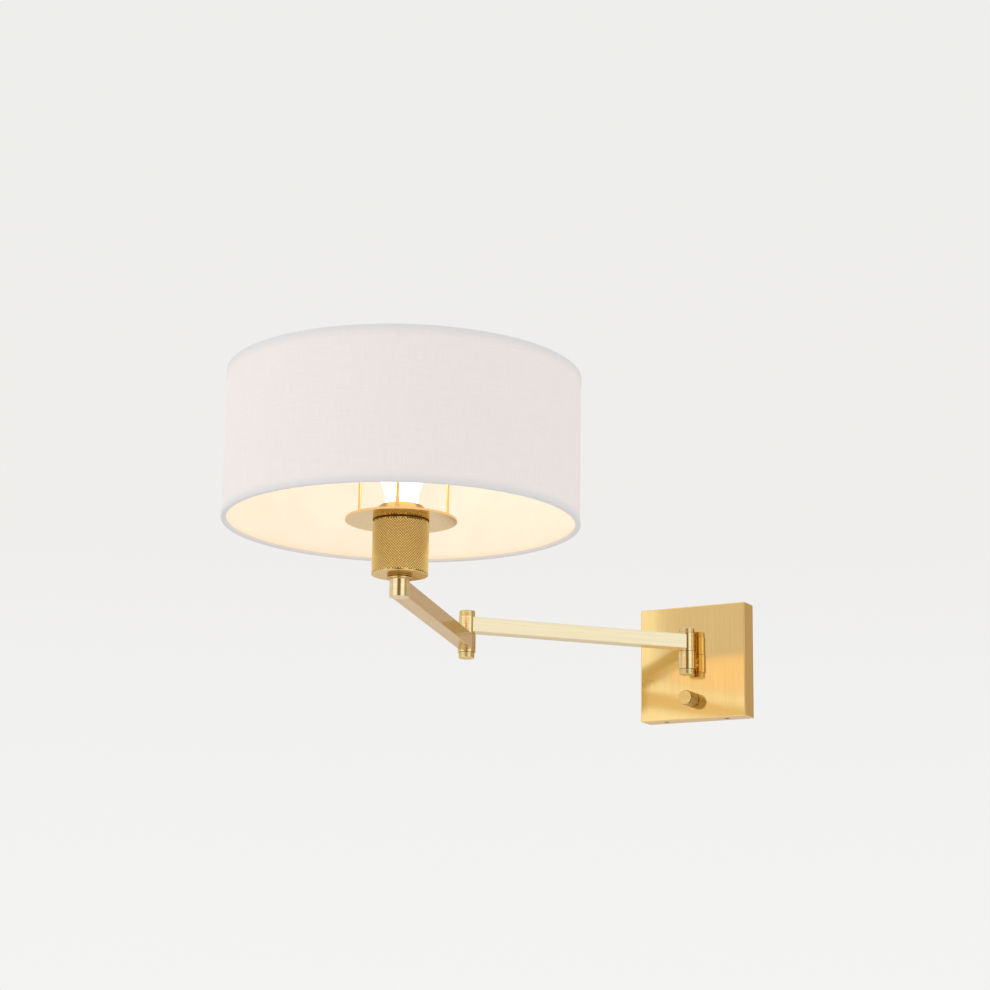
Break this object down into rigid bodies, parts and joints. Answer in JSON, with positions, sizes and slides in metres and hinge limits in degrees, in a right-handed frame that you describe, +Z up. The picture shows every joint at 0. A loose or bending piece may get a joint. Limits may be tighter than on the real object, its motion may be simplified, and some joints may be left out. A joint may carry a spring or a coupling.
{
  "type": "swing arm wall sconce",
  "caption": "Brass wall sconce with a square canopy, two jointed square arms, a knurled socket cup and a white drum shade.",
  "frame": {"origin": "middle of the canopy on the wall plane, which is the middle of the line of the two box screw holes", "axes": "+X right along the wall, +Y into the wall, +Z up; the lamp stands off the wall towards -Y"},
  "size_m": [0.312, 0.6123, 0.2481],
  "materials": {
    "brushed_brass": "vertically brushed, clear lacquered",
    "satin_brass": "fine satin, clear lacquered",
    "knurled_brass": "diamond knurled, satin",
    "polished_brass": "polished",
    "zinc_steel": "zinc plated",
    "dark_steel": "blackened",
    "green_paint": "green passivated",
    "dark_washer": "dull",
    "black_plastic": "moulded",
    "porcelain": "unglazed white",
    "socket_metal": "plain rolled",
    "opal_glass": "opal, lit",
    "white_wire": "white powder coat",
    "white_fabric": "fine plain weave",
    "warm_liner": "smooth translucent film",
    "hem_fabric": "fine plain weave, folded"
  },
  "bodies": {
    "wall_mount": {"canopy_cover": "brushed_brass", "mounting_bracket": "zinc_steel", "canopy_grub_screws": "dark_steel", "ground_screw": "green_paint", "hub_stem": "brushed_brass", "stem_lock_washer": "zinc_steel", "stem_lock_nut": "zinc_steel", "dimmer_body": "black_plastic", "dimmer_bushing_nut": "zinc_steel", "wall_hub_barrel": "satin_brass", "wall_pivot_tube": "satin_brass", "wall_pivot_washer": "dark_washer", "wall_top_cap": "satin_brass", "wall_bottom_cap": "satin_brass"},
    "knob": {"dimmer_knob": "knurled_brass", "dimmer_shaft": "zinc_steel", "knob_grub_screw": "dark_steel"},
    "rear_arm": {"rear_arm_tube": "satin_brass", "rear_arm_wall_barrel": "satin_brass", "rear_arm_elbow_barrel": "satin_brass", "elbow_pivot_tube": "satin_brass", "elbow_pivot_washer": "dark_washer", "elbow_top_cap": "satin_brass", "elbow_bottom_cap": "satin_brass"},
    "front_arm": {"bulb_globe": "opal_glass", "bulb_insulator": "black_plastic", "bulb_screw_cap": "socket_metal", "bulb_tip_contact": "socket_metal", "centre_contact": "socket_metal", "front_arm_elbow_barrel": "satin_brass", "front_arm_post": "satin_brass", "front_arm_tube": "satin_brass", "lamp_holder": "porcelain", "neck_collar": "satin_brass", "retaining_ring": "satin_brass", "rod_foot_1": "polished_brass", "rod_foot_2": "polished_brass", "rod_foot_3": "polished_brass", "rod_nut_1": "polished_brass", "rod_nut_2": "polished_brass", "rod_nut_3": "polished_brass", "screw_shell": "socket_metal", "shade_bottom_hem": "hem_fabric", "shade_bottom_hoop": "white_wire", "shade_disc": "satin_brass", "shade_fabric": "white_fabric", "shade_liner": "warm_liner", "shade_rod_1": "polished_brass", "shade_rod_2": "polished_brass", "shade_rod_3": "polished_brass", "shade_top_hem": "hem_fabric", "shade_top_hoop": "white_wire", "socket_cup": "knurled_brass", "socket_lock_nut": "zinc_steel", "socket_nipple": "zinc_steel", "spider_ring": "white_wire", "spider_spoke_1": "white_wire", "spider_spoke_2": "white_wire", "spider_spoke_3": "white_wire", "terminal_screws": "socket_metal"}
  },
  "joints": [
    {"name": "wall_swivel", "type": "hinge", "parent": "wall_mount", "child": "rear_arm", "pos_m": [0, -0.0332, 0], "axis": [0, 0, 1], "range_deg": [-48.9, 131.1]},
    {"name": "elbow_swivel", "type": "hinge", "parent": "rear_arm", "child": "front_arm", "pos_m": [-0.15251, -0.20803, 0], "axis": [0, 0, 1], "range_deg": [-208.4, 91.6]},
    {"name": "knob_turn", "type": "hinge", "parent": "wall_mount", "child": "knob", "pos_m": [0, -0.03, -0.038], "axis": [0, -1, 0], "range_deg": [-150, 150]}
  ]
}
